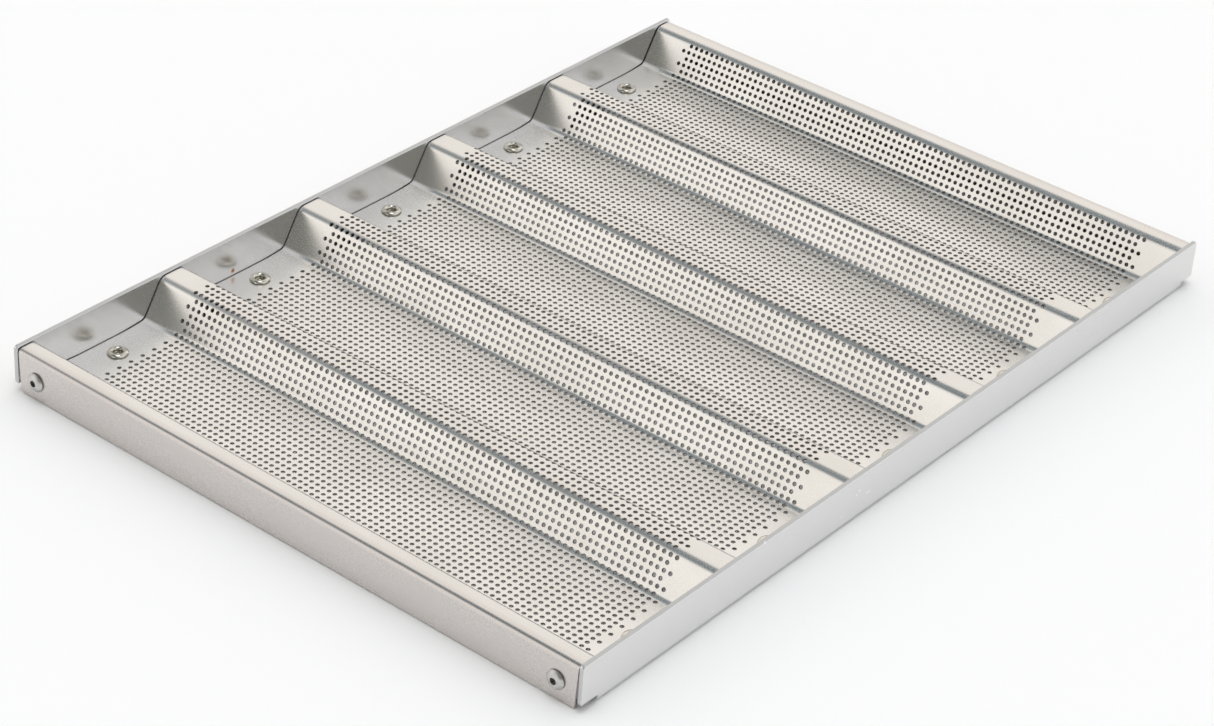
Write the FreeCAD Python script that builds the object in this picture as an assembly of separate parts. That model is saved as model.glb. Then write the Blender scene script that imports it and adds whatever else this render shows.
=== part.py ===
import FreeCAD, Part
import math
import os

os.makedirs("parts", exist_ok=True)

# A five-channel baguette tray, in millimetres. X runs along the two end rails and across the
# channels, Y runs along the channels, and Z is up from the surface that the tray rests on.

V = FreeCAD.Vector

# Overall size
LENGTH = 600.0           # along the rails
WIDTH = 430.0            # along the channels, over both rails
HEIGHT = 30.5            # to the rails' top edges

# End rails: L-profiles with the flange turned in under the sheet
RAIL_T = 3.0
FLANGE_W = 26.0
RAIL_BEND_R = 4.5        # outside radius between wall and flange
RAIL_EDGE_R = 1.0        # eased edges of the wall
RAIL_CORNER_R = 2.5      # rounded top corner at each end of the wall
RAIL_FOOT_R = 1.5        # rounded bottom corner at each end of the wall
NOTCH_RUN = 13.0         # the flange and its bend are cut away this far from each end
NOTCH_RISE = 5.0

# Ear inside each corner, that the sheet's side skirt is riveted to
EAR_T = 3.0
EAR_REACH = 27.0         # from the rail's outer face
EAR_LOW = 7.0
EAR_HIGH = 22.0
EAR_CORNER_R = 3.0

# Wave sheet
SHEET_T = 1.2
END_GAP = 0.7            # between the sheet's cut ends and the rails
CHANNELS = 5
PITCH = 118.0            # from one channel's centre line to the next
BASE_W = 71.8            # flat bottom of a channel, corner to corner
RIDGE_RISE = 24.8        # from a channel's bottom to a ridge's top
SLOPE_RUN = 14.5         # level distance that a channel's side covers
RIDGE_BEND_R = 5.5       # inside radii of the folds: along the ridges,
FOOT_BEND_R = 5.5        # at the foot of each channel's sides
SKIRT_BEND_R = 2.0       # and where the skirts turn down
DISH_RISE = 1.3          # a channel's bottom curls up this much towards each side
DISH_RUN = 16.0          # over this width
DISH_R = 170.0
SKIRT_INSET = 0.8        # the side skirts stand this far inside the rails' ends
HEM_H = 5.5              # folded hem along each skirt's bottom edge
HEM_GAP = 0.6            # inside the closed hem
SKIRT_TAPER = 1.6        # the skirt's ends are cut back this much at the bottom

# Channel rivets: tubular, rolled over on top and countersunk below
RIVET_LINE = 18.0        # from the rail's outer face to every rivet's centre
SHANK_R = 3.4
RING_R = 6.6             # rolled ring on the sheet
DIMPLE_R = 2.8           # hole left in the middle of the ring
DIMPLE_SINK = 0.6        # the hole's floor lies this far below the sheet's surface
SINK_R = 5.4             # countersunk head, flush under the flange
SINK_H = 2.0

# Corner rivets: blind rivets with a domed head
BLIND_R = 5.9            # head's radius
BLIND_RIM = 0.8          # height of the head's upright edge
BLIND_DOME = 2.7         # dome's height over the skirt
BLIND_FULLNESS = 0.78    # how far the dome has risen halfway in from its edge
BLIND_MOUTH_R = 2.1      # hole in the dome's top
BLIND_SHANK_R = 2.4
BLIND_BULGE_R = 3.4      # swollen tail behind the ear
BLIND_TAIL = 4.5
BLIND_Z = 13.0
MANDREL_R = 1.5
MANDREL_RECESS = 2.2     # its broken end lies this far below the dome's top
MANDREL_HEAD_R = 2.6
MANDREL_HEAD_H = 2.0

# Worked out from the sizes above
HALF_L = LENGTH / 2
HALF_W = WIDTH / 2
BASE_Z = RAIL_T + SHEET_T            # upper surface of a channel's bottom
RIDGE_Z = BASE_Z + RIDGE_RISE        # upper surface of a ridge
SKIRT_X = HALF_L - SKIRT_INSET       # outer face of a side skirt
SHEET_END = HALF_W - RAIL_T - END_GAP
RIVET_Y = HALF_W - RIVET_LINE
CENTRES = [PITCH * (k - (CHANNELS - 1) / 2) for k in range(CHANNELS)]
MARGIN = 1.0                         # how far a cutting tool passes the piece


def save(name, shape):
    """Write one piece, which must be a single sound solid, as its own STEP file."""
    solids = shape.removeSplitter().Solids
    if len(solids) != 1 or not solids[0].isValid():
        raise RuntimeError(name + " is not one valid solid")
    solids[0].exportStep("parts/" + name + ".step")


def box(low, high):
    """A box from its lowest corner to its highest."""
    size = V(*high) - V(*low)
    return Part.makeBox(size.x, size.y, size.z, V(*low))


def prism(points, sweep):
    """A flat outline swept in a straight line."""
    loop = Part.makePolygon([V(*p) for p in points + points[:1]])
    return Part.Face(loop).extrude(V(*sweep))


def turned(edges):
    """A closed outline in the XZ plane turned round the Z axis."""
    return Part.Face(Part.Wire(edges)).revolve(V(0, 0, 0), V(0, 0, 1), 360)


def polyline(points):
    """Straight edges through (radius, height) points."""
    return Part.makePolygon([V(r, 0, h) for r, h in points]).Edges


def edges_where(shape, chosen):
    """The shape's edges whose middle passes the chosen test."""
    return [edge for edge in shape.Edges if chosen(edge.CenterOfMass, edge)]


def runs_along(edge, axis):
    """True for a straight edge that is parallel to an axis."""
    if not isinstance(edge.Curve, Part.Line):
        return False
    return abs(edge.tangentAt(edge.FirstParameter).dot(axis)) > 0.999


def blind_hole(side, end):
    """The hole for one corner rivet, through the skirt and the ear behind it."""
    depth = SHEET_T + EAR_T + MARGIN
    start = V(side * (SKIRT_X - depth), end * RIVET_Y, BLIND_Z)
    return Part.makeCylinder(BLIND_SHANK_R, depth + MARGIN, start, V(side, 0, 0))


# ---------------------------------------------------------------- wave sheet

def sheet_path():
    """Corners (x, z, fold radius) of the sheet's mid-line, from hem to hem."""
    half = SHEET_T / 2
    hem_fold = (HEM_GAP + SHEET_T) / 2
    side_x = SKIRT_X - half
    hem_x = side_x - 2 * hem_fold
    left = [(-hem_x, HEM_H, 0), (-hem_x, half, hem_fold), (-side_x, half, hem_fold)]
    left += [(-side_x, RIDGE_Z - half, SKIRT_BEND_R + half)]
    right = [(-x, z, r) for x, z, r in reversed(left)]
    return left + [point for x in CENTRES for point in channel_path(x)] + right


def channel_path(centre):
    """The mid-line's corners in one channel: each side, and the bottom that curls up to meet it."""
    half = SHEET_T / 2
    low = BASE_Z - half
    foot = BASE_W / 2
    near = [(foot - DISH_RUN, low, DISH_R), (foot, low + DISH_RISE, FOOT_BEND_R + half)]
    near += [(foot + SLOPE_RUN, RIDGE_Z - half, RIDGE_BEND_R + half)]
    return [(centre - x, z, r) for x, z, r in reversed(near)] + [(centre + x, z, r) for x, z, r in near]


def shifted(path, distance):
    """The path moved sideways, to its left for a positive distance, folds included."""
    points = [V(x, 0, z) for x, z, _ in path]
    ways = [(b - a).normalize() for a, b in zip(points, points[1:])]
    before = [ways[0]] + ways
    after = ways + [ways[-1]]
    moved = []
    for point, way_in, way_out, (_, _, radius) in zip(points, before, after, path):
        left_in = V(-way_in.z, 0, way_in.x)
        left_out = V(-way_out.z, 0, way_out.x)
        offset = (left_in + left_out) * (distance / (1 + left_in.dot(left_out)))
        turns_left = left_in.dot(way_out) > 0
        tighter = distance if turns_left else -distance
        moved.append((point.x + offset.x, point.z + offset.z, max(radius - tighter, 0)))
    return moved


def folded_line(path):
    """Edges through the path's corners, each corner rounded to its own radius."""
    points = [V(x, 0, z) for x, z, _ in path]
    edges = []
    start = points[0]
    for before, corner, after, (_, _, radius) in zip(points, points[1:], points[2:], path[1:]):
        back = (before - corner).normalize()
        ahead = (after - corner).normalize()
        half_angle = back.getAngle(ahead) / 2
        reach = radius / math.tan(half_angle)
        crown = corner + (back + ahead).normalize() * (radius / math.sin(half_angle) - radius)
        if (corner + back * reach - start).Length > 0.001:
            edges.append(Part.makeLine(start, corner + back * reach))
        start = corner + ahead * reach
        edges.append(Part.Arc(corner + back * reach, crown, start).toShape())
    edges.append(Part.makeLine(start, points[-1]))
    return edges


def skirt_cut(side, end):
    """Wedge that tapers one end of a skirt, so that it clears the rail towards the bottom."""
    x = side * SKIRT_X
    y = end * SHEET_END
    low = -MARGIN
    high = RIDGE_Z - SHEET_T - SKIRT_BEND_R
    depth = HEM_GAP + 2 * SHEET_T + MARGIN
    start = x - depth if side > 0 else x - MARGIN
    points = [(start, y, high), (start, y - end * SKIRT_TAPER, low)]
    points += [(start, y + end * MARGIN, low), (start, y + end * MARGIN, high)]
    return prism(points, (depth + MARGIN, 0, 0))


def strip(path, thickness):
    """Cross-section, in the XZ plane, of a sheet folded along its mid-line."""
    left = folded_line(shifted(path, thickness / 2))
    right = folded_line(shifted(path, -thickness / 2))
    starts = Part.makeLine(left[0].Vertexes[0].Point, right[0].Vertexes[0].Point)
    ends = Part.makeLine(left[-1].Vertexes[-1].Point, right[-1].Vertexes[-1].Point)
    return Part.Face(Part.Wire(Part.__sortEdges__(left + right + [starts, ends])))


def wave_sheet():
    """One folded sheet: five channels, the ridges between them, two side skirts and their hems."""
    section = strip(sheet_path(), SHEET_T)
    section.translate(V(0, -SHEET_END, 0))
    sheet = section.extrude(V(0, 2 * SHEET_END, 0))
    cuts = [skirt_cut(side, end) for side in (-1, 1) for end in (-1, 1)]
    for end in (-1, 1):
        y = end * RIVET_Y
        cuts += [Part.makeCylinder(SHANK_R, BASE_Z + MARGIN, V(x, y, 0)) for x in CENTRES]
        cuts += [blind_hole(side, end) for side in (-1, 1)]
    return sheet.cut(cuts)


# ---------------------------------------------------------------- end rails

def rail_angle():
    """The bent angle before its ends are cut: a wall and the flange turned in under the sheet."""
    half = RAIL_T / 2
    wall_y = HALF_W - half
    bend = (wall_y, half, RAIL_BEND_R - half)
    section = strip([(HALF_W - FLANGE_W, half, 0), bend, (wall_y, HEIGHT, 0)], RAIL_T)
    section.rotate(V(0, 0, 0), V(0, 0, 1), 90)
    section.translate(V(-HALF_L, 0, 0))
    return section.extrude(V(LENGTH, 0, 0))


def end_notch(side):
    """What is cut off one end of the angle: the flange's end and the bend above it."""
    start = side * (HALF_L - NOTCH_RUN)
    tip = side * (HALF_L + MARGIN)
    return box((min(start, tip), 0, -MARGIN), (max(start, tip), HALF_W + MARGIN, NOTCH_RISE))


def shaped_rail():
    """The angle with its ends notched, the wall's corners rounded and its rim eased."""
    rail = rail_angle().cut([end_notch(-1), end_notch(1)])
    across = V(0, 1, 0)

    def at_tip(p, edge):
        return runs_along(edge, across) and abs(p.x) > HALF_L - MARGIN

    rail = rail.makeFillet(RAIL_CORNER_R, edges_where(rail, lambda p, e: at_tip(p, e) and p.z > HEIGHT / 2))
    rail = rail.makeFillet(RAIL_FOOT_R, edges_where(rail, lambda p, e: at_tip(p, e) and p.z < HEIGHT / 2))
    rim = edges_where(rail, lambda p, e: p.z > HEIGHT - MARGIN and not runs_along(e, across))
    return rail.makeFillet(RAIL_EDGE_R, rim)


def ear(side):
    """Upright ear at one end of the rail, lying against the inside of the skirt."""
    outer = side * (SKIRT_X - SHEET_T)
    inner = outer - side * EAR_T
    plate = box((min(outer, inner), HALF_W - EAR_REACH, EAR_LOW),
                (max(outer, inner), HALF_W - RAIL_T, EAR_HIGH))
    along = V(1, 0, 0)
    free_end = HALF_W - EAR_REACH + MARGIN
    corners = edges_where(plate, lambda p, e: runs_along(e, along) and p.y < free_end)
    return plate.makeFillet(EAR_CORNER_R, corners)


def back_rail():
    """The rail at the tray's +Y end."""
    rail = shaped_rail().fuse([ear(-1), ear(1)])
    cuts = [blind_hole(-1, 1), blind_hole(1, 1)]
    for x in CENTRES:
        cuts.append(Part.makeCylinder(SHANK_R, HEIGHT, V(x, RIVET_Y, -MARGIN)))
        cuts.append(Part.makeCone(SINK_R, SHANK_R, SINK_H, V(x, RIVET_Y, 0)))
    return rail.cut(cuts)


# ---------------------------------------------------------------- rivets

def channel_rivet():
    """Tubular rivet standing on the Z axis: flush head below, rolled ring on the sheet."""
    floor = BASE_Z - DIMPLE_SINK
    ring_r = (RING_R - DIMPLE_R) / 2
    crest = V(RING_R - ring_r, 0, BASE_Z + ring_r)
    ring = Part.Arc(V(RING_R, 0, BASE_Z), crest, V(DIMPLE_R, 0, BASE_Z)).toShape()
    below = polyline([(DIMPLE_R, BASE_Z), (DIMPLE_R, floor), (0, floor), (0, 0), (SINK_R, 0),
                      (SHANK_R, SINK_H), (SHANK_R, BASE_Z), (RING_R, BASE_Z)])
    return turned([ring] + below)


def blind_rivet():
    """Blind rivet's body along Z, with the skirt's outer face at zero and its head above."""
    ear_back = -(SHEET_T + EAR_T)
    tail = ear_back - BLIND_TAIL
    floor = BLIND_DOME - MANDREL_RECESS
    shoulder_z = BLIND_RIM + BLIND_FULLNESS * (BLIND_DOME - BLIND_RIM)
    shoulder = V((BLIND_R + BLIND_MOUTH_R) / 2, 0, shoulder_z)
    dome = Part.Arc(V(BLIND_R, 0, BLIND_RIM), shoulder, V(BLIND_MOUTH_R, 0, BLIND_DOME)).toShape()
    rest = polyline([(BLIND_MOUTH_R, BLIND_DOME), (BLIND_MOUTH_R, floor), (MANDREL_R, floor),
                     (MANDREL_R, tail), (BLIND_BULGE_R, tail), (BLIND_BULGE_R, ear_back),
                     (BLIND_SHANK_R, ear_back), (BLIND_SHANK_R, 0), (BLIND_R, 0),
                     (BLIND_R, BLIND_RIM)])
    return turned([dome] + rest)


def mandrel():
    """Broken-off steel mandrel inside a blind rivet's body."""
    tail = -(SHEET_T + EAR_T + BLIND_TAIL)
    end = tail - MANDREL_HEAD_H
    return turned(polyline([(0, end), (MANDREL_HEAD_R, end), (MANDREL_HEAD_R, tail),
                            (MANDREL_R, tail), (MANDREL_R, BLIND_DOME - MANDREL_RECESS),
                            (0, BLIND_DOME - MANDREL_RECESS), (0, end)]))


def on_skirt(piece, side, end):
    """A piece built along Z, turned to stand out of one skirt near one rail."""
    placed = piece.copy()
    placed.rotate(V(0, 0, 0), V(0, 1, 0), side * 90)
    placed.translate(V(side * SKIRT_X, end * RIVET_Y, BLIND_Z))
    return placed


# ---------------------------------------------------------------- the tray

save("wave_sheet", wave_sheet())

RAIL = back_rail()
save("rail_back", RAIL)
save("rail_front", RAIL.mirror(V(0, 0, 0), V(0, 1, 0)))

for end_name, end_sign in (("back", 1), ("front", -1)):
    for number, centre_x in enumerate(CENTRES, 1):
        rivet = channel_rivet()
        rivet.translate(V(centre_x, end_sign * RIVET_Y, 0))
        save(f"channel_rivet_{end_name}_{number}", rivet)
    for side_name, side_sign in (("left", -1), ("right", 1)):
        corner = f"{end_name}_{side_name}"
        save("corner_rivet_" + corner, on_skirt(blind_rivet(), side_sign, end_sign))
        save("mandrel_" + corner, on_skirt(mandrel(), side_sign, end_sign))
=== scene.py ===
import math

import bpy
import numpy as np
from mathutils import Matrix, Vector


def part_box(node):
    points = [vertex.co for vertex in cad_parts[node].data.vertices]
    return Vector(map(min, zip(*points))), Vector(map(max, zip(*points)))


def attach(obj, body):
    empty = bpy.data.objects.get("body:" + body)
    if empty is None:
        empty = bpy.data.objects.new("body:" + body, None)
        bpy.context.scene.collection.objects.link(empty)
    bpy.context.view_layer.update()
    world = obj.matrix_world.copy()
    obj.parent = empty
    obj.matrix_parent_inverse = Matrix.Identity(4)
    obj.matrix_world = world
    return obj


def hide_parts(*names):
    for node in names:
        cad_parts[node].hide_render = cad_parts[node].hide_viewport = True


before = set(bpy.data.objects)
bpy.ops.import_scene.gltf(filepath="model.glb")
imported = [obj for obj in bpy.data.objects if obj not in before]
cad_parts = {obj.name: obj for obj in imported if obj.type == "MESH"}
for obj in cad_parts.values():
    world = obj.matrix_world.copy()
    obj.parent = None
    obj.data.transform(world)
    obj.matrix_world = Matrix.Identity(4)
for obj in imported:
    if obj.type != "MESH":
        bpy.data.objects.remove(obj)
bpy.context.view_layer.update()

# A five-channel baguette tray, in metres. X runs along the two end rails and across the channels,
# Y runs along the channels, and Z is up. The rails and rivets are the CAD nodes with new materials.
# The wave sheet is rebuilt here with every one of its holes, in one strip for each channel.

# Wave sheet, with the same folds as the CAD solid
CHANNELS = 5
SHEET_T = 0.0012
BASE_W = 0.0718          # flat bottom of a channel, corner to corner
RIDGE_RISE = 0.0248
SLOPE_RUN = 0.0145
RIDGE_BEND_R = 0.0055    # inside radii of the folds: along the ridges,
FOOT_BEND_R = 0.0055     # at the foot of each channel's sides
SKIRT_BEND_R = 0.002     # and where the skirts turn down
HEM_H = 0.0055
HEM_GAP = 0.0006
SKIRT_TAPER = 0.0016     # the skirt's ends are cut back this much at the bottom
DISH_RISE = 0.0013       # a channel's bottom curls up this much towards each side
DISH_RUN = 0.016         # over this width
DISH_R = 0.17

# Perforation: a square lattice punched in the flat sheet before it was folded
HOLE_R = 0.0014
HOLE_SIDES = 12
ROWS_PER_PITCH = 30.5    # rows of holes from one channel's centre line to the next
CENTRE_ROW = 5.2         # the first channel's centre line, counted in rows
SLOPE_ROWS = 6           # rows on the outer slope of each side ridge
COLUMN_PITCH = 0.00447
COLUMNS = 83
FIRST_COLUMN_Y = 0.1803  # the even rows' first hole; the odd rows start one hole earlier

SHANK_R = 0.0034         # channel rivets' holes
BLIND_SHANK_R = 0.0024   # corner rivets' holes
ROUND_HOLE_SIDES = 24
BLIND_PATCH = 0.006      # half the height of the patch round a corner rivet's hole
FOLD_STEP = 10           # degrees between divisions of a fold outside the lattice
CUT_EDGE = "cut_edge"    # 1 on the walls of the holes and on the sheet's cut edges

SAME = 1e-6              # lengths and directions that differ by less are the same
ROUNDING = 1e-9          # differences that come only from rounding
GRID_PER_METRE = 1e7     # points of the pattern that share a step of this grid are one point

# Worked out from the frame
SHEET_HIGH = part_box("wave_sheet")[1]
SKIRT_X = SHEET_HIGH.x
SHEET_END = SHEET_HIGH.y
RIDGE_Z = SHEET_HIGH.z
BASE_Z = RIDGE_Z - RIDGE_RISE


def middle(node):
    """Centre of a CAD node's box."""
    low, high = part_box(node)
    return (low + high) / 2


RIVETS = [middle(f"channel_rivet_back_{k}") for k in range(1, CHANNELS + 1)]
CENTRES = [p.x for p in RIVETS]
RIVET_Y = RIVETS[0].y
BLIND = middle("corner_rivet_back_right")


# ---------------------------------------------------------------- folded section

def sheet_path():
    """Corners (x, z, fold radius) of the sheet's mid-line, from hem to hem."""
    half = SHEET_T / 2
    hem_fold = (HEM_GAP + SHEET_T) / 2
    side_x = SKIRT_X - half
    hem_x = side_x - 2 * hem_fold
    left = [(-hem_x, HEM_H, 0), (-hem_x, half, hem_fold), (-side_x, half, hem_fold)]
    left += [(-side_x, RIDGE_Z - half, SKIRT_BEND_R + half)]
    right = [(-x, z, r) for x, z, r in reversed(left)]
    return left + [point for x in CENTRES for point in channel_path(x)] + right


def channel_path(centre):
    """The mid-line's corners in one channel: each side, and the bottom that curls up to meet it."""
    half = SHEET_T / 2
    low = BASE_Z - half
    foot = BASE_W / 2
    near = [(foot - DISH_RUN, low, DISH_R), (foot, low + DISH_RISE, FOOT_BEND_R + half)]
    near += [(foot + SLOPE_RUN, RIDGE_Z - half, RIDGE_BEND_R + half)]
    return [(centre - x, z, r) for x, z, r in reversed(near)] + [(centre + x, z, r) for x, z, r in near]


def runs_of(path):
    """Straight and curved runs of the mid-line: start length, x, z, heading and turn per metre."""
    points = np.array([p[:2] for p in path])
    radii = [p[2] for p in path]
    ways = np.diff(points, axis=0)
    headings = np.unwrap(np.arctan2(ways[:, 1], ways[:, 0]))
    runs = []
    length = 0.0
    start = points[0]
    for k, corner in enumerate(points[1:-1]):
        turn = headings[k + 1] - headings[k]
        way = np.array([math.cos(headings[k]), math.sin(headings[k])])
        ahead = np.array([math.cos(headings[k + 1]), math.sin(headings[k + 1])])
        reach = radii[k + 1] * math.tan(abs(turn) / 2)
        arc_start = corner - way * reach
        runs.append((length, *start, headings[k], 0.0))
        length += float(np.dot(arc_start - start, way))
        runs.append((length, *arc_start, headings[k], math.copysign(1 / radii[k + 1], turn)))
        length += radii[k + 1] * abs(turn)
        start = corner + ahead * reach
    runs.append((length, *start, headings[-1], 0.0))
    length += float(np.linalg.norm(points[-1] - start))
    return np.array(runs), length


RUNS, SHEET_LENGTH = runs_of(sheet_path())


def on_sheet(s):
    """Place (x, z) and heading of the mid-line at lengths s."""
    run = RUNS[np.clip(np.searchsorted(RUNS[:, 0], s, side="right") - 1, 0, len(RUNS) - 1)]
    done = s - run[:, 0]
    heading, turn = run[:, 3], run[:, 4]
    straight = np.abs(turn) < ROUNDING
    rate = np.where(straight, 1.0, turn)
    now = heading + turn * done
    x = run[:, 1] + np.where(straight, np.cos(heading) * done, (np.sin(now) - np.sin(heading)) / rate)
    z = run[:, 2] + np.where(straight, np.sin(heading) * done, (np.cos(heading) - np.cos(now)) / rate)
    return x, z, now


def length_at(x):
    """Length along the mid-line where a channel's or ridge's flat part has this x."""
    flat = RUNS[(RUNS[:, 4] == 0) & (np.abs(np.sin(RUNS[:, 3])) < SAME)]
    run = flat[np.searchsorted(flat[:, 1], x, side="right") - 1]
    return run[0] + x - run[1]


def length_up(side, z):
    """Length along the mid-line where a side skirt has this height."""
    off_skirt = np.abs(np.abs(RUNS[:, 1]) - SKIRT_X + SHEET_T / 2)
    upright = RUNS[(RUNS[:, 4] == 0) & (off_skirt < SAME)]
    run = upright[0] if side < 0 else upright[-1]
    return run[0] + (z - run[2]) * math.copysign(1, math.sin(run[3]))


ROW_PITCH = (length_at(CENTRES[1]) - length_at(CENTRES[0])) / ROWS_PER_PITCH
BASE_ROWS = (BASE_W / 2) / ROW_PITCH     # rows from a channel's centre line to the foot of its side
FIRST_ROW = round(CENTRE_ROW - BASE_ROWS + 0.5) - SLOPE_ROWS
LAST_ROW = round(CENTRE_ROW + (CHANNELS - 1) * ROWS_PER_PITCH + BASE_ROWS - 0.5) + SLOPE_ROWS


def row_length(row):
    """Length along the mid-line of one row of holes."""
    return length_at(CENTRES[0]) + (row - CENTRE_ROW) * ROW_PITCH


# ---------------------------------------------------------------- flat pattern

def cell_template():
    """One lattice cell, from -1 to 1 both ways: the hole's corners and the points on the cell's border."""
    angles = (np.arange(HOLE_SIDES) + 0.5) * 2 * math.pi / HOLE_SIDES
    ring = np.stack([np.cos(angles), np.sin(angles)], 1)
    border = ring / np.abs(ring).max(1, keepdims=True)
    return ring, border


RING, BORDER = cell_template()
INNER_CUT = math.tan(math.pi / HOLE_SIDES)
CUTS = np.array([-1.0, -INNER_CUT, INNER_CUT, 1.0])     # where a cell's sides are divided


class Pattern:
    """Flat pattern of one strip of the sheet: points (s, y), faces, and the hole that a point lies on."""

    def __init__(self):
        self.points = []
        self.holes = []
        self.faces = []
        self.index = {}

    def point(self, s, y, hole=None):
        """The index of a point, which is added unless it is there already."""
        key = (round(s * GRID_PER_METRE), round(y * GRID_PER_METRE))
        if key not in self.index:
            self.index[key] = len(self.points)
            self.points.append((s, y))
            self.holes.append(hole)
        return self.index[key]

    def face(self, corners):
        """A face from its corners, which are turned to run anticlockwise."""
        turning = sum(a[0] * b[1] - b[0] * a[1] for a, b in zip(corners, corners[1:] + corners[:1]))
        self.faces.append([self.point(*c) for c in (corners if turning > 0 else corners[::-1])])


def column_y(column):
    """Y of one column of holes."""
    return FIRST_COLUMN_Y - column * COLUMN_PITCH


# Y of the lattice's border next to the back rail, and next to the front rail
LATTICE_Y = {1: column_y(-1.5), -1: column_y(COLUMNS - 0.5)}


def end_y(s, side):
    """Where the sheet ends along Y at length s: straight, but tapered on the skirts and hems."""
    x, z, _ = on_sheet(np.array([s]))
    if abs(x[0]) < SKIRT_X - 2 * SHEET_T - HEM_GAP:
        return side * SHEET_END
    top = RIDGE_Z - SHEET_T - SKIRT_BEND_R
    return side * (SHEET_END - SKIRT_TAPER * max(0.0, top - z[0]) / top)


def row_cuts(first, last):
    """Every length at which the cells of some rows are divided."""
    cuts = [row_length(row) + cut * ROW_PITCH / 2 for row in range(first, last + 1) for cut in CUTS[:3]]
    return cuts + [row_length(last) + ROW_PITCH / 2]


def column_cuts():
    """Every Y at which the lattice's cells are divided, from the back rail to the front rail."""
    cuts = [column_y(column) - cut * COLUMN_PITCH / 2 for column in range(-1, COLUMNS) for cut in CUTS[:3]]
    return cuts + [LATTICE_Y[-1]]


def add_hole_cell(pattern, s, y):
    """One cell of the lattice: a ring of faces between the hole and the cell's border."""
    ring = [(*p, (s, y)) for p in RING * HOLE_R + (s, y)]
    border = [tuple(p) for p in BORDER * (ROW_PITCH / 2, COLUMN_PITCH / 2) + (s, y)]
    for k in range(HOLE_SIDES):
        m = (k + 1) % HOLE_SIDES
        pattern.face([ring[k], border[k], border[m], ring[m]])


def add_grid(pattern, lengths, ys):
    """Plain faces between lines of equal length and lines of equal Y."""
    for a, b in zip(lengths, lengths[1:]):
        for c, d in zip(ys, ys[1:]):
            pattern.face([(a, c), (b, c), (b, d), (a, d)])


def add_rows(pattern, first, last):
    """The lattice's cells for some rows. Odd rows start and end one hole nearer the back rail."""
    for row in range(first, last + 1):
        early = row % 2
        for column in range(-1, COLUMNS):
            s, y = row_length(row), column_y(column)
            if -early <= column < COLUMNS - early:
                add_hole_cell(pattern, s, y)
            else:
                add_grid(pattern, s + CUTS * ROW_PITCH / 2, y + CUTS * COLUMN_PITCH / 2)


def add_round_hole(pattern, lengths, s_hole, side, radius):
    """Plain sheet outside the lattice with a rivet's hole: two faces that meet in line with its centre."""
    y_hole = side * RIVET_Y
    near = LATTICE_Y[side]
    turns = np.linspace(0, math.pi, ROUND_HOLE_SIDES // 2 + 1)
    for half in (1, -1):
        outward = half * side > 0
        far = [(s, end_y(s, side) if outward else near) for s in (lengths[0], lengths[-1])]
        rim = [far[0], far[1]] if outward else [(s, near) for s in lengths]
        arc = [(s_hole + radius * math.cos(t), y_hole + half * radius * math.sin(t)) for t in turns]
        on_hole = [(s, y, (s_hole, y_hole)) for s, y in arc]
        pattern.face(rim + [(lengths[-1], y_hole)] + on_hole + [(lengths[0], y_hole)])


def add_end(pattern, lengths, side):
    """Plain sheet from the lattice's border to the sheet's end, in two faces at each length."""
    for a, b in zip(lengths, lengths[1:]):
        y = side * RIVET_Y
        pattern.face([(a, LATTICE_Y[side]), (b, LATTICE_Y[side]), (b, y), (a, y)])
        pattern.face([(a, y), (b, y), (b, end_y(b, side)), (a, end_y(a, side))])


def add_channel_ends(pattern, lengths, x_centre):
    """Plain sheet at both ends of a channel, with its rivets' holes."""
    s_hole = length_at(x_centre)
    near = [k for k, s in enumerate(lengths) if abs(s - s_hole) < SHANK_R + ROW_PITCH / 2]
    for side in (1, -1):
        add_end(pattern, lengths[:near[0] + 1], side)
        add_round_hole(pattern, lengths[near[0]:near[-1] + 1], s_hole, side, SHANK_R)
        add_end(pattern, lengths[near[-1]:], side)


def stations(start, end):
    """Lengths between start and end at which the plain sheet is divided: closely where it is folded."""
    found = {start, end}
    for k, (length, _, _, _, turn) in enumerate(RUNS):
        run_end = RUNS[k + 1, 0] if k + 1 < len(RUNS) else SHEET_LENGTH
        parts = max(1, math.ceil(abs(turn) * (run_end - length) / math.radians(FOLD_STEP)))
        found.update(np.linspace(length, run_end, parts + 1))
    kept = sorted(s for s in found if start <= s <= end)
    return [s for s, after in zip(kept, kept[1:] + [end + 1]) if after - s > SAME]


def add_outer(pattern, side, lattice_edge):
    """Plain sheet outside the lattice: the slope's edge, the side ridge's top, the skirt and its hem."""
    hole = length_up(side, BLIND.z)
    tip = 0.0 if side < 0 else SHEET_LENGTH
    lengths = [s for s in stations(*sorted((lattice_edge, tip))) if abs(s - hole) > BLIND_PATCH]
    lengths += [hole - BLIND_PATCH, hole + BLIND_PATCH]
    lengths.sort(key=lambda s: abs(s - lattice_edge))
    _, _, headings = on_sheet(np.array(lengths))
    top = next(k for k, heading in enumerate(headings) if abs(math.sin(heading)) < SAME)
    patch = next(k for k, s in enumerate(lengths) if abs(s - hole) < BLIND_PATCH + ROUNDING)
    columns = column_cuts()
    add_grid(pattern, lengths[:top + 1], columns)
    far = lengths[top + 1]
    pattern.face([(far, columns[0])] + [(lengths[top], y) for y in columns] + [(far, columns[-1])])
    add_grid(pattern, lengths[top + 1:], [columns[0], columns[-1]])
    for end in (1, -1):
        add_end(pattern, lengths[:patch + 1], end)
        add_round_hole(pattern, sorted(lengths[patch:patch + 2]), hole, end, BLIND_SHANK_R)
        add_end(pattern, lengths[patch + 1:], end)


# ---------------------------------------------------------------- sheet with thickness

def walls_of(faces):
    """The pattern's outline and hole edges, each one turned the way that its wall needs."""
    edges = {(a, b) for face in faces for a, b in zip(face, face[1:] + face[:1])}
    return [(b, a) for a, b in sorted(edges) if (b, a) not in edges]


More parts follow.
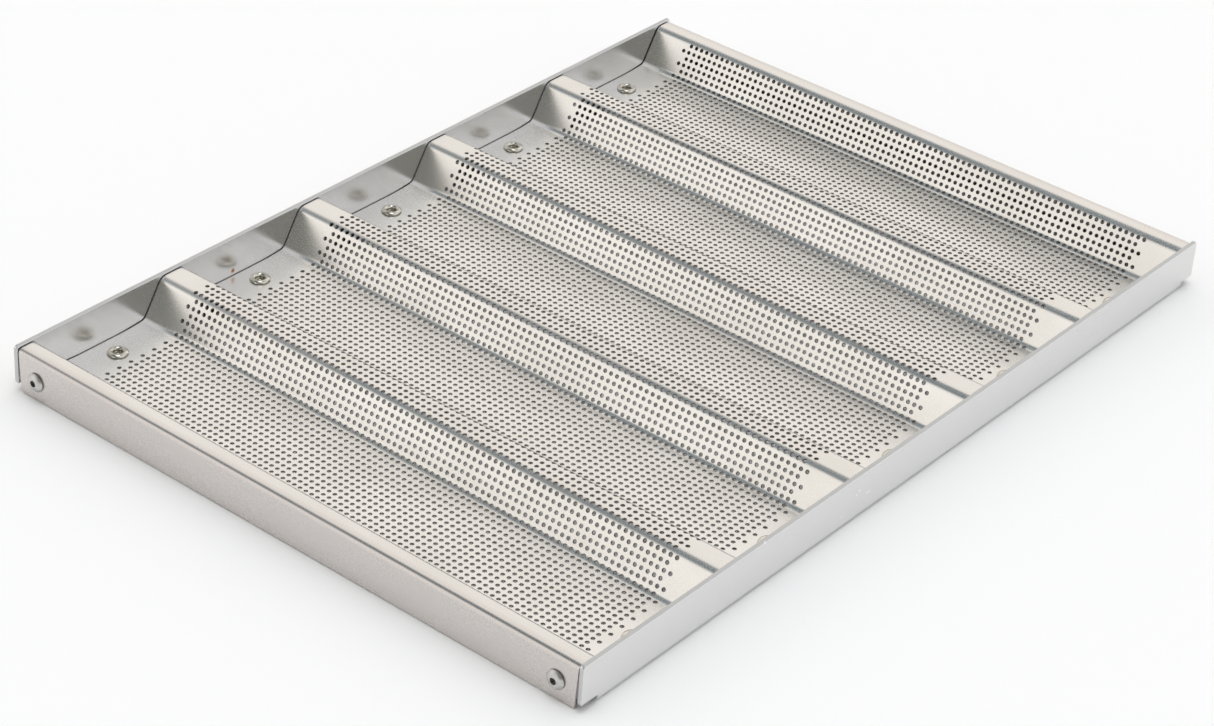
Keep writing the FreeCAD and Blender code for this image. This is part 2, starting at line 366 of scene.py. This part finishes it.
def wall_normals(pattern, top, along, wall):
    """Directions for the two ends of one wall: into a round hole, or straight out of a cut edge."""
    a, b = wall
    if pattern.holes[a] is None or pattern.holes[a] != pattern.holes[b]:
        edge = top[b] - top[a]
        out = np.cross(pattern.up[a], edge)
        return [out / np.linalg.norm(out)] * 2
    normals = []
    for point in wall:
        to_axis = np.subtract(pattern.holes[point], pattern.points[point])
        inward = along[point] * to_axis[0] + np.array([0, to_axis[1], 0])
        normals.append(inward / np.linalg.norm(inward))
    return normals


def thick_mesh(name, pattern):
    """The strip's two surfaces and the walls between them, with exact normals."""
    flat = np.array(pattern.points)
    x, z, heading = on_sheet(flat[:, 0])
    along = np.stack([np.cos(heading), 0 * x, np.sin(heading)], 1)
    pattern.up = np.stack([-np.sin(heading), 0 * x, np.cos(heading)], 1)
    middle_line = np.stack([x, flat[:, 1], z], 1)
    top = middle_line + pattern.up * SHEET_T / 2
    under = middle_line - pattern.up * SHEET_T / 2
    count = len(flat)
    faces = list(pattern.faces)
    normals = [pattern.up[p] for face in faces for p in face]
    for face in pattern.faces:
        faces.append([p + count for p in face[::-1]])
        normals += [-pattern.up[p] for p in face[::-1]]
    for a, b in walls_of(pattern.faces):
        faces.append([a, b, b + count, a + count])
        at_a, at_b = wall_normals(pattern, top, along, (a, b))
        normals += [at_a, at_b, at_b, at_a]
    mesh = bpy.data.meshes.new(name)
    mesh.from_pydata(np.concatenate([top, under]).tolist(), [], faces, shade_flat=False)
    mesh.normals_split_custom_set([tuple(n) for n in normals])
    cut = np.zeros(len(faces), dtype=np.float32)
    cut[2 * len(pattern.faces):] = 1.0
    mesh.attributes.new(CUT_EDGE, "FLOAT", "FACE").data.foreach_set("value", cut)
    return mesh


def strip_rows(channel):
    """First and last row of a channel's strip, which ends in the middle of the ridges beside it."""
    first = math.ceil(CENTRE_ROW + (channel - 0.5) * ROWS_PER_PITCH)
    last = math.ceil(CENTRE_ROW + (channel + 0.5) * ROWS_PER_PITCH) - 1
    return max(first, FIRST_ROW), min(last, LAST_ROW)


def sheet_strip(channel):
    """The wave sheet's strip for one channel, from 0 next to the left skirt to 4."""
    first, last = strip_rows(channel)
    lengths = row_cuts(first, last)
    pattern = Pattern()
    add_rows(pattern, first, last)
    add_channel_ends(pattern, lengths, CENTRES[channel])
    if first == FIRST_ROW:
        add_outer(pattern, -1, lengths[0])
    if last == LAST_ROW:
        add_outer(pattern, 1, lengths[-1])
    name = f"wave_sheet_channel_{channel + 1}"
    strip = bpy.data.objects.new(name, thick_mesh(name, pattern))
    bpy.context.scene.collection.objects.link(strip)
    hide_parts("wave_sheet")
    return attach(strip, "root")


# ---------------------------------------------------------------- materials

SHEET_COLOUR = (0.85, 0.835, 0.805)
SHEET_CLOUDED = (0.80, 0.78, 0.74)
SHEET_SCRATCHED = (0.66, 0.64, 0.61)
# Painted shade on the skirts, standing in for a darker reflection; a quarter of it darkens the ridge tops
SHEET_SKIRT_SHADE_RIDGE_DARK = (0.645, 0.606, 0.585)
# Painted shade on the walls of the holes and on the sheet's cut edges
SHEET_CUT_SHADE = (0.49, 0.455, 0.445)
RAIL_COLOUR = (0.82, 0.81, 0.82)
RAIL_CLOUDED = (0.77, 0.76, 0.77)
RAIL_SAWN = (0.60, 0.60, 0.60)
RAIL_HANDLED = (0.75, 0.74, 0.74)
RAIL_SCRATCHED = (0.62, 0.62, 0.63)
RAIL_SPECK = (0.95, 0.95, 0.95)
NICKEL = (0.74, 0.71, 0.64)
NICKEL_DULLED = (0.56, 0.52, 0.44)
BLIND_COLOUR = (0.62, 0.61, 0.60)
BLIND_DULLED = (0.50, 0.49, 0.48)
MANDREL_COLOUR = (0.10, 0.09, 0.08)
MANDREL_DULLED = (0.06, 0.05, 0.045)
RUST = (0.42, 0.15, 0.03)
# Painted contact shade with some grime, for the creases round the rivets' feet
CREASE_SHADE_AND_GRIME = (0.25, 0.235, 0.20)

# Surface patterns: feature size, squeeze along X, Y and Z (a small number makes long features), detail
EVEN = (1, 1, 1)
SHEET_GRAIN = (0.0009, EVEN, 2.0)
SHEET_ROLLING = (0.0011, (1, 0.012, 1), 2.0)
SHEET_CLOUDS = (0.03, (1, 0.5, 1), 4.0)
SHEET_SCRATCHES = (0.0016, (0.25, 0.02, 1), 2.0)
RAIL_GRAIN = (0.0008, EVEN, 2.0)
RAIL_BRUSHING = (0.0007, (0.02, 1, 1), 2.0)
RAIL_CLOUDS = (0.022, (0.4, 1, 1), 4.0)
RAIL_SCRATCHES = (0.0015, (0.05, 1, 0.6), 2.0)
RAIL_SPARSE = (0.02, EVEN, 2.0)
RIVET_GRAIN = (0.0005, EVEN, 2.0)
RIVET_PATCHES = (0.0035, EVEN, 3.0)

# Pattern levels between which a mask rises from 0 to 1
CLOUDED = (0.35, 0.7)
SHEET_SCRATCH_LEVELS = (0.70, 0.76)
RAIL_SCRATCH_LEVELS = (0.71, 0.76)
SPARSE_LEVELS = (0.66, 0.7)
DULLED = (0.4, 0.65)
ROUGHENED = (0.3, 0.7)

# Roughness where the metal is clean and clouded, and what the grain and the cut, sawn or grimy edges add
SHEET_ROUGHNESS = (0.24, 0.28)
SHEET_GRAIN_ROUGHNESS = 0.03
RAIL_ROUGHNESS = (0.18, 0.24)
RAIL_GRAIN_ROUGHNESS = 0.05
EDGE_ROUGHNESS = 0.25
RIVET_DULL_ROUGHNESS = 0.08
RIVET_GRAIN_ROUGHNESS = 0.04
GRIME_ROUGHNESS = 0.2

# How strongly some masks show, and how high some marks stand against the grain
SHEET_SCRATCH_SHARE = 0.3
RAIL_SCRATCH_SHARE = 0.4
RIDGE_DARK_SHARE = 0.25
ROLLING_HEIGHT = 0.8
SPECK_HEIGHT = 3.0
SHEET_BUMP = 0.0000012
RAIL_BUMP = 0.000004

# Painted skirt shade, darker ridge tops, and worn and sawn faces: how far inside the box a mask starts, and
# where it is full
SKIRT_SHADE_MARGINS = (0.009, 0.0006)
RIDGE_DARK_MARGINS = (0.0015, 0.0003)
RAIL_WEAR = (0.0012, 0.0002)
SAWN_EDGE = (0.0006, 0.0002)
CREASE_RISE = (-0.0003, 0)      # heights above a rivet's foot where the painted shade and grime in its crease comes in
CREASE_FALL = (0.0003, 0.0009)  # and goes out

# The back rail's small rust stain, and the pale specks, most of them in one group on the front rail
STAIN_PLACE = (-0.1265, 0.212, 0.0076)
STAIN_R = 0.0019
STAIN_CORE = 0.4         # share of its radius with its full colour
SPECK_PLACE = (-0.064, -0.215, 0.018)
SPECK_AREA_R = 0.02
SPECK_AREA_CORE = 0.5
SPECK_SPACING = 0.0055
SPECK_R = 0.0011
MARK_SPACING = 0.0021    # small marks on the rivets
MARK_R = 0.0003
DOT_CORE = 0.6

RAIL_TOP_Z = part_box("rail_back")[1].z
RAIL_END_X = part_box("rail_back")[1].x
RAIL_FACE_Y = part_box("rail_back")[1].y

MIX_BELOW, MIX_ABOVE, MIX_RESULT = 6, 7, 2      # a Mix node's colour sockets


def add_node(tree, kind, inputs, **settings):
    """A new node with its settings, and its inputs by name or number: a value, or a socket to link."""
    node = tree.nodes.new(kind)
    for key, value in settings.items():
        setattr(node, key, value)
    for key, value in inputs.items():
        if isinstance(value, bpy.types.NodeSocket):
            tree.links.new(value, node.inputs[key])
        else:
            node.inputs[key].default_value = value
    return node


def maths(tree, operation, a, b):
    """One sum on numbers or sockets."""
    return add_node(tree, "ShaderNodeMath", {0: a, 1: b}, operation=operation).outputs[0]


def unsigned(tree, value):
    """A value without its sign."""
    return maths(tree, "ABSOLUTE", value, 0.0)


def noise(tree, place, size, squeeze, detail):
    """A soft random pattern from 0 to 1 with features of this size."""
    scale = tuple(s / size for s in squeeze)
    moved = add_node(tree, "ShaderNodeMapping", {"Vector": place, "Scale": scale}).outputs[0]
    pattern = add_node(tree, "ShaderNodeTexNoise", {"Vector": moved, "Scale": 1.0, "Detail": detail})
    return pattern.outputs[0]


def spread(tree, value, low, high, to_low=0.0, to_high=1.0):
    """A value's range from low to high spread over another range and held at its ends."""
    inputs = {"Value": value, "From Min": low, "From Max": high, "To Min": to_low, "To Max": to_high}
    return add_node(tree, "ShaderNodeMapRange", inputs).outputs[0]


def towards(tree, value, face, margins, to_high=1.0):
    """A mask that rises as the value nears a face, from the first margin short of it to the second."""
    start, full = margins
    return spread(tree, value, face - start, face - full, 0.0, to_high)


def near_point(tree, place, point, inner, outer):
    """1 within the inner distance of a point, falling to 0 at the outer one."""
    away = add_node(tree, "ShaderNodeVectorMath", {0: place, 1: point}, operation="DISTANCE")
    return spread(tree, away.outputs["Value"], inner, outer, 1.0, 0.0)


def specks(tree, place, spacing, radius):
    """Small round dots, one to each cell of a random lattice."""
    inputs = {"Vector": place, "Scale": 1 / spacing}
    cells = add_node(tree, "ShaderNodeTexVoronoi", inputs).outputs["Distance"]
    return spread(tree, cells, DOT_CORE * radius / spacing, radius / spacing, 1.0, 0.0)


def blended(tree, mask, below, above):
    """The colour below, turning to the colour above where the mask is 1. Either is a colour or a socket."""
    inputs = {"Factor": mask}
    for key, value in ((MIX_BELOW, below), (MIX_ABOVE, above)):
        inputs[key] = (*value, 1) if isinstance(value, tuple) else value
    return add_node(tree, "ShaderNodeMix", inputs, data_type="RGBA").outputs[MIX_RESULT]


def roughened(tree, clouds, clean_to_clouded, grain, from_grain, edge, from_edge):
    """Roughness from the clouding, the grain and a mask of rough edges."""
    clouding = spread(tree, clouds, *ROUGHENED, *clean_to_clouded)
    graining = spread(tree, grain, *ROUGHENED, 0, from_grain)
    edging = maths(tree, "MULTIPLY", edge, from_edge)
    return maths(tree, "ADD", maths(tree, "ADD", clouding, graining), edging)


def new_metal(name):
    """A new metal, with its tree, its shader and the place on the object in metres."""
    material = bpy.data.materials.new(name)
    material.use_nodes = True
    tree = material.node_tree
    shader = tree.nodes["Principled BSDF"]
    shader.inputs["Metallic"].default_value = 1.0
    place = add_node(tree, "ShaderNodeTexCoord", {}).outputs["Object"]
    return material, tree, shader, place


def finished(tree, shader, colour, roughness, height, depth):
    """The shader with its colour, roughness and bump, whose full height is the depth."""
    tree.links.new(colour, shader.inputs["Base Color"])
    tree.links.new(roughness, shader.inputs["Roughness"])
    bump = add_node(tree, "ShaderNodeBump", {"Height": height, "Distance": depth})
    tree.links.new(bump.outputs[0], shader.inputs["Normal"])


def sheet_metal():
    """Mill-finish sheet: faint rolling lines along the channels, clouds, grain, painted shade on the
    skirts, darker ridge tops, and rougher cut edges with painted shade.
    """
    material, tree, shader, place = new_metal("sheet_aluminium")
    grain = noise(tree, place, *SHEET_GRAIN)
    rolling = noise(tree, place, *SHEET_ROLLING)
    clouds = noise(tree, place, *SHEET_CLOUDS)
    scratches = spread(tree, noise(tree, place, *SHEET_SCRATCHES), *SHEET_SCRATCH_LEVELS)
    cut = add_node(tree, "ShaderNodeAttribute", {}, attribute_name=CUT_EDGE).outputs["Fac"]
    x, _, z = add_node(tree, "ShaderNodeSeparateXYZ", {"Vector": place}).outputs
    painted_skirt_shade = towards(tree, unsigned(tree, x), SKIRT_X, SKIRT_SHADE_MARGINS)
    ridge_darkening = towards(tree, z, RIDGE_Z, RIDGE_DARK_MARGINS, RIDGE_DARK_SHARE)
    darkened = maths(tree, "MAXIMUM", painted_skirt_shade, ridge_darkening)
    colour = blended(tree, spread(tree, clouds, *CLOUDED), SHEET_COLOUR, SHEET_CLOUDED)
    colour = blended(tree, maths(tree, "MULTIPLY", scratches, SHEET_SCRATCH_SHARE), colour, SHEET_SCRATCHED)
    # Painted shade on the skirts, and a slight darkening along the ridge tops
    colour = blended(tree, darkened, colour, SHEET_SKIRT_SHADE_RIDGE_DARK)
    # Painted shade in the holes and along the cut edges; their added roughness is the sheared metal's own
    colour = blended(tree, cut, colour, SHEET_CUT_SHADE)
    roughness = roughened(tree, clouds, SHEET_ROUGHNESS, grain, SHEET_GRAIN_ROUGHNESS, cut, EDGE_ROUGHNESS)
    height = maths(tree, "ADD", grain, maths(tree, "MULTIPLY", rolling, ROLLING_HEIGHT))
    height = maths(tree, "SUBTRACT", height, scratches)
    finished(tree, shader, colour, roughness, height, SHEET_BUMP)
    return material


def rail_metal():
    """Satin rail: brushed along its length, with sawn and rubbed edges, scratches, specks and one stain."""
    material, tree, shader, place = new_metal("rail_aluminium")
    grain = noise(tree, place, *RAIL_GRAIN)
    brushing = noise(tree, place, *RAIL_BRUSHING)
    clouds = noise(tree, place, *RAIL_CLOUDS)
    scratches = spread(tree, noise(tree, place, *RAIL_SCRATCHES), *RAIL_SCRATCH_LEVELS)
    x, y, z = add_node(tree, "ShaderNodeSeparateXYZ", {"Vector": place}).outputs
    darkened = towards(tree, unsigned(tree, y), RAIL_FACE_Y, RAIL_WEAR)
    on_top = towards(tree, z, RAIL_TOP_Z, SAWN_EDGE)
    on_end = towards(tree, unsigned(tree, x), RAIL_END_X, SAWN_EDGE)
    sawn = maths(tree, "MAXIMUM", on_top, on_end)
    group = near_point(tree, place, SPECK_PLACE, SPECK_AREA_CORE * SPECK_AREA_R, SPECK_AREA_R)
    sparse = spread(tree, noise(tree, place, *RAIL_SPARSE), *SPARSE_LEVELS)
    with_dots = maths(tree, "MAXIMUM", group, sparse)
    dots = maths(tree, "MULTIPLY", specks(tree, place, SPECK_SPACING, SPECK_R), with_dots)
    stain = near_point(tree, place, STAIN_PLACE, STAIN_CORE * STAIN_R, STAIN_R)
    colour = blended(tree, spread(tree, clouds, *CLOUDED), RAIL_COLOUR, RAIL_CLOUDED)
    colour = blended(tree, darkened, colour, RAIL_HANDLED)
    colour = blended(tree, sawn, colour, RAIL_SAWN)
    colour = blended(tree, maths(tree, "MULTIPLY", scratches, RAIL_SCRATCH_SHARE), colour, RAIL_SCRATCHED)
    colour = blended(tree, dots, colour, RAIL_SPECK)
    colour = blended(tree, stain, colour, RUST)
    roughness = roughened(tree, clouds, RAIL_ROUGHNESS, grain, RAIL_GRAIN_ROUGHNESS, sawn, EDGE_ROUGHNESS)
    height = maths(tree, "ADD", grain, brushing)
    height = maths(tree, "ADD", height, maths(tree, "MULTIPLY", dots, SPECK_HEIGHT))
    finished(tree, shader, colour, roughness, height, RAIL_BUMP)
    return material


def rivet_metal(name, clean, dulled, smooth, depth, axis=None, foot=0.0):
    """A formed rivet: bright where it was pressed, duller in patches, and darker in the crease at its foot,
    with painted contact shade and some grime.

    The crease is at this height along this axis, on both sides of the tray.
    """
    material, tree, shader, place = new_metal(name)
    grain = noise(tree, place, *RIVET_GRAIN)
    patches = noise(tree, place, *RIVET_PATCHES)
    marks = specks(tree, place, MARK_SPACING, MARK_R)
    colour = blended(tree, spread(tree, patches, *DULLED), clean, dulled)
    roughness = spread(tree, patches, *CLOUDED, smooth, smooth + RIVET_DULL_ROUGHNESS)
    graining = spread(tree, grain, *ROUGHENED, 0, RIVET_GRAIN_ROUGHNESS)
    roughness = maths(tree, "ADD", roughness, graining)
    if axis is not None:
        along = add_node(tree, "ShaderNodeSeparateXYZ", {"Vector": place}).outputs[axis]
        height = maths(tree, "SUBTRACT", unsigned(tree, along), foot)
        inside = spread(tree, height, *CREASE_RISE)
        crease = maths(tree, "SUBTRACT", inside, spread(tree, height, *CREASE_FALL))
        # Painted contact shade, with some grime, in the crease round the rivet's foot
        colour = blended(tree, crease, colour, CREASE_SHADE_AND_GRIME)
        roughness = maths(tree, "ADD", roughness, maths(tree, "MULTIPLY", crease, GRIME_ROUGHNESS))
    height = maths(tree, "SUBTRACT", maths(tree, "ADD", grain, patches), marks)
    finished(tree, shader, colour, roughness, height, depth)
    return material


# ---------------------------------------------------------------- the tray

X_AXIS, Z_AXIS = 0, 2

SHEET_METAL = sheet_metal()
RAIL_METAL = rail_metal()
RIVET_METAL = rivet_metal("rivet_nickel", NICKEL, NICKEL_DULLED, smooth=0.10, depth=0.000006,
                          axis=Z_AXIS, foot=BASE_Z)
BLIND_METAL = rivet_metal("rivet_aluminium", BLIND_COLOUR, BLIND_DULLED, smooth=0.26, depth=0.000008,
                          axis=X_AXIS, foot=SKIRT_X)
MANDREL_METAL = rivet_metal("mandrel_steel", MANDREL_COLOUR, MANDREL_DULLED, smooth=0.5, depth=0.00004)

for strip_number in range(CHANNELS):
    sheet_strip(strip_number).data.materials.append(SHEET_METAL)


def finish_of(node):
    """The material of a CAD node that is kept."""
    if node.startswith("rail"):
        return RAIL_METAL
    if node.startswith("channel_rivet"):
        return RIVET_METAL
    return BLIND_METAL if node.startswith("corner_rivet") else MANDREL_METAL


for node_name, node_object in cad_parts.items():
    if node_name != "wave_sheet":
        node_object.data.materials.clear()
        node_object.data.materials.append(finish_of(node_name))


# ---------------------------------------------------------------- floor, light and camera

FLOOR_HALF_W = 4.0
FLOOR_COLOUR = (0.93, 0.93, 0.93, 1)
FLOOR_ROUGHNESS = 0.9

# The sky is dark where no light covers it. Each light has its way through the sky, the angles from it
# in degrees up to which it is full and beyond which it is out, and its colour.
SKY_COLOUR = (0.17, 0.205, 0.23)
SKY_LIGHTS = [
    ((0.28, 0, -0.96), 129, 141, (1.02, 0.99, 0.95)),           # all round, and most of the way up
    ((-0.77, 0.515, 0.377), 12, 30, (1.09, 1.06, 1.02)),        # a brighter patch at the back left
    ((0.1, -1, 0.1), 50, 85, (0.84, 0.86, 0.87)),               # a cooler one in front
    ((-0.79, -0.515, 0.333), 16, 42, (0.235, 0.24, 0.215)),     # dark at the front left
    ((0, 0, 1), 7, 14, (4.0, 4.0, 4.0)),                        # and a lamp straight above
]
LAMP_STRENGTH = 0.9
LAMP_WIDTH = 60          # degrees

CAMERA_PLACE = (-1.3302, -1.0142, 1.0530)
CAMERA_RIGHT = (0.63936, -0.76684, 0.05636)
CAMERA_DOWN = (-0.38564, -0.38322, -0.83930)
FOCAL_WIDTHS = 2.681     # focal length in picture widths
SENSOR_MM = 36.0
NEAREST = 0.05
FARTHEST = 20.0


def floor():
    """A plain pale floor."""
    mesh = bpy.data.meshes.new("floor")
    r = FLOOR_HALF_W
    mesh.from_pydata([(-r, -r, 0), (r, -r, 0), (r, r, 0), (-r, r, 0)], [], [(0, 1, 2, 3)])
    obj = bpy.data.objects.new("floor", mesh)
    bpy.context.scene.collection.objects.link(obj)
    material = bpy.data.materials.new("floor_paper")
    material.use_nodes = True
    shader = material.node_tree.nodes["Principled BSDF"]
    shader.inputs["Base Color"].default_value = FLOOR_COLOUR
    shader.inputs["Roughness"].default_value = FLOOR_ROUGHNESS
    mesh.materials.append(material)


def lobe(tree, direction, way, inner, outer):
    """1 within inner degrees of a way through the sky, falling smoothly to 0 at outer degrees."""
    inputs = {0: direction, 1: Vector(way).normalized()}
    dot = add_node(tree, "ShaderNodeVectorMath", inputs, operation="DOT_PRODUCT")
    inputs = {"Value": dot.outputs["Value"]}
    inputs["From Min"] = math.cos(math.radians(outer))
    inputs["From Max"] = math.cos(math.radians(inner))
    return add_node(tree, "ShaderNodeMapRange", inputs, interpolation_type="SMOOTHSTEP").outputs[0]


def studio():
    """Soft light from all round and from straight above, dark high up and at the front left."""
    world = bpy.data.worlds.new("studio")
    bpy.context.scene.world = world
    world.use_nodes = True
    tree = world.node_tree
    direction = add_node(tree, "ShaderNodeTexCoord", {}).outputs["Generated"]
    sky = SKY_COLOUR
    for way, inner, outer, colour in SKY_LIGHTS:
        sky = blended(tree, lobe(tree, direction, way, inner, outer), sky, colour)
    tree.links.new(sky, tree.nodes["Background"].inputs["Color"])


def overhead_lamp():
    """A wide soft lamp overhead that lights the floor and doesn't show in the metal."""
    data = bpy.data.lights.new("overhead", "SUN")
    data.energy = LAMP_STRENGTH
    data.angle = math.radians(LAMP_WIDTH)
    obj = bpy.data.objects.new("overhead", data)
    obj.visible_glossy = False
    bpy.context.scene.collection.objects.link(obj)


def camera():
    """A long lens above the front left corner."""
    data = bpy.data.cameras.new("camera")
    data.sensor_width = SENSOR_MM
    data.lens = FOCAL_WIDTHS * SENSOR_MM
    data.clip_start = NEAREST
    data.clip_end = FARTHEST
    obj = bpy.data.objects.new("camera", data)
    bpy.context.scene.collection.objects.link(obj)
    right, down = Vector(CAMERA_RIGHT), Vector(CAMERA_DOWN)
    right.normalize()
    back = right.cross(-down).normalized()
    up = back.cross(right)
    turn = Matrix((right, up, back)).transposed().to_4x4()
    obj.matrix_world = Matrix.Translation(CAMERA_PLACE) @ turn
    bpy.context.scene.camera = obj


floor()
studio()
overhead_lamp()
camera()
bpy.context.scene.view_settings.view_transform = "Standard"
